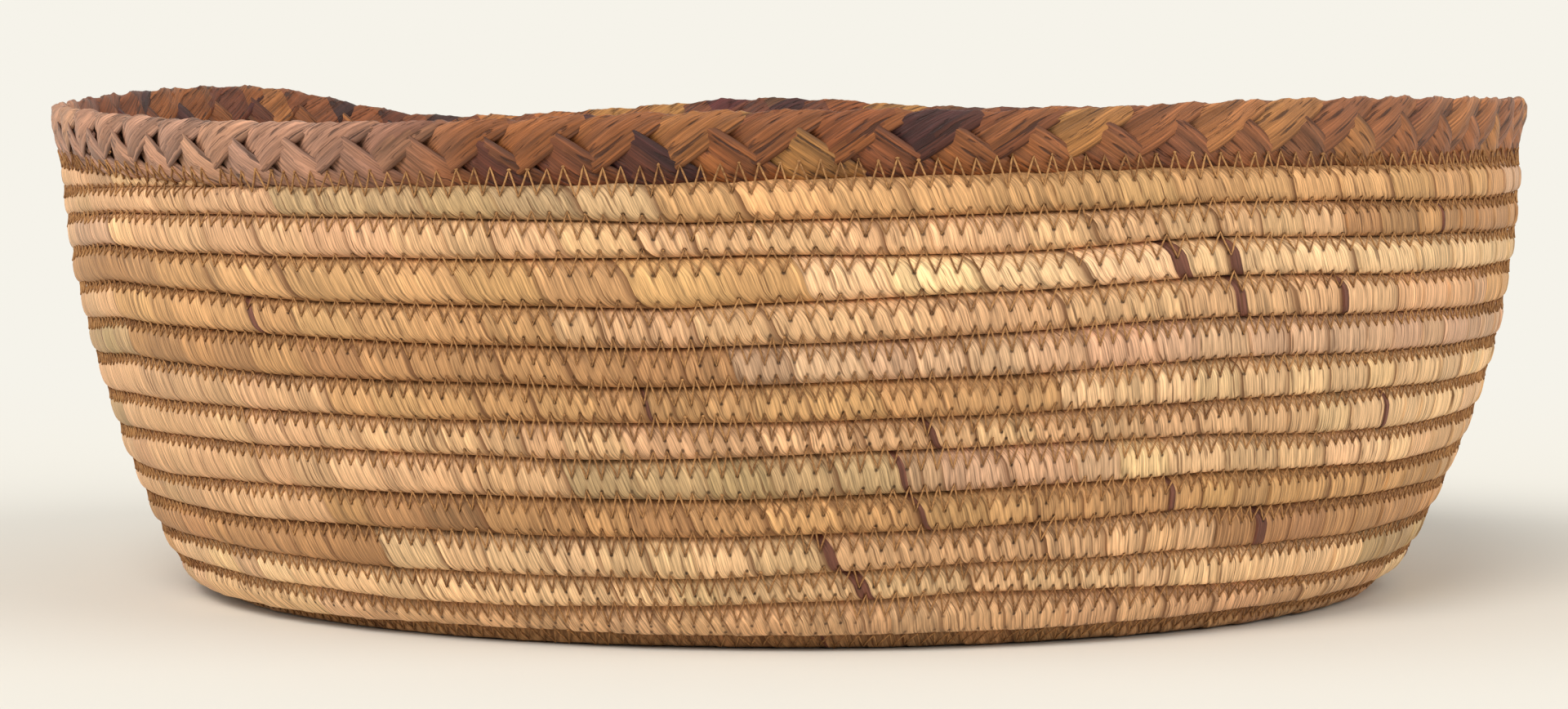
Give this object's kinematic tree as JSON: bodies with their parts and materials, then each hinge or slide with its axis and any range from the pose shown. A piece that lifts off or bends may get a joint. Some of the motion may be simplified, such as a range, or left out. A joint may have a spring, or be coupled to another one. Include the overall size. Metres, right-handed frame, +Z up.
{
  "type": "woven wicker basket",
  "caption": "Shallow round open basket sewn from a coiled leaf-wrapped cord, flaring from a flat base, with a dark plaited rim.",
  "frame": {"origin": "middle of the underside, on the surface that the basket stands on", "axes": "+Z up out of the open top; -Y faces the front as seen; X and Y across, the basket being round"},
  "size_m": [0.2981, 0.2978, 0.1044],
  "materials": {
    "leaf_wrap": "matte dry leaf, tan",
    "fibre_core": "dull fibre bundle",
    "dark_leaf": "slightly glossy dark leaf, brown to burgundy",
    "sewing_thread": "matte twisted thread"
  },
  "bodies": {
    "root": {"base_core": "fibre_core", "base_wrap": "leaf_wrap", "base_thread_under": "sewing_thread", "base_thread_top": "sewing_thread", "wall_core_01": "fibre_core", "wall_wrap_01": "leaf_wrap", "wall_core_02": "fibre_core", "wall_wrap_02": "leaf_wrap", "wall_core_03": "fibre_core", "wall_wrap_03": "leaf_wrap", "wall_core_04": "fibre_core", "wall_wrap_04": "leaf_wrap", "wall_core_05": "fibre_core", "wall_wrap_05": "leaf_wrap", "wall_core_06": "fibre_core", "wall_wrap_06": "leaf_wrap", "wall_core_07": "fibre_core", "wall_wrap_07": "leaf_wrap", "wall_core_08": "fibre_core", "wall_wrap_08": "leaf_wrap", "wall_core_09": "fibre_core", "wall_wrap_09": "leaf_wrap", "wall_core_10": "fibre_core", "wall_wrap_10": "leaf_wrap", "wall_core_11": "fibre_core", "wall_wrap_11": "leaf_wrap", "wall_core_12": "fibre_core", "wall_wrap_12": "leaf_wrap", "wall_core_13": "fibre_core", "wall_wrap_13": "leaf_wrap", "tail_core": "fibre_core", "tail_wrap": "leaf_wrap", "seam_thread_01": "sewing_thread", "seam_thread_02": "sewing_thread", "seam_thread_03": "sewing_thread", "seam_thread_04": "sewing_thread", "seam_thread_05": "sewing_thread", "seam_thread_06": "sewing_thread", "seam_thread_07": "sewing_thread", "seam_thread_08": "sewing_thread", "seam_thread_09": "sewing_thread", "seam_thread_10": "sewing_thread", "seam_thread_11": "sewing_thread", "seam_thread_12": "sewing_thread", "seam_thread_13": "sewing_thread", "inner_thread": "sewing_thread", "plait_strand_a": "dark_leaf", "plait_strand_b": "dark_leaf", "plait_strand_c": "dark_leaf", "rim_thread_outer": "sewing_thread", "rim_thread_inner": "sewing_thread"}
  },
  "joints": []
}
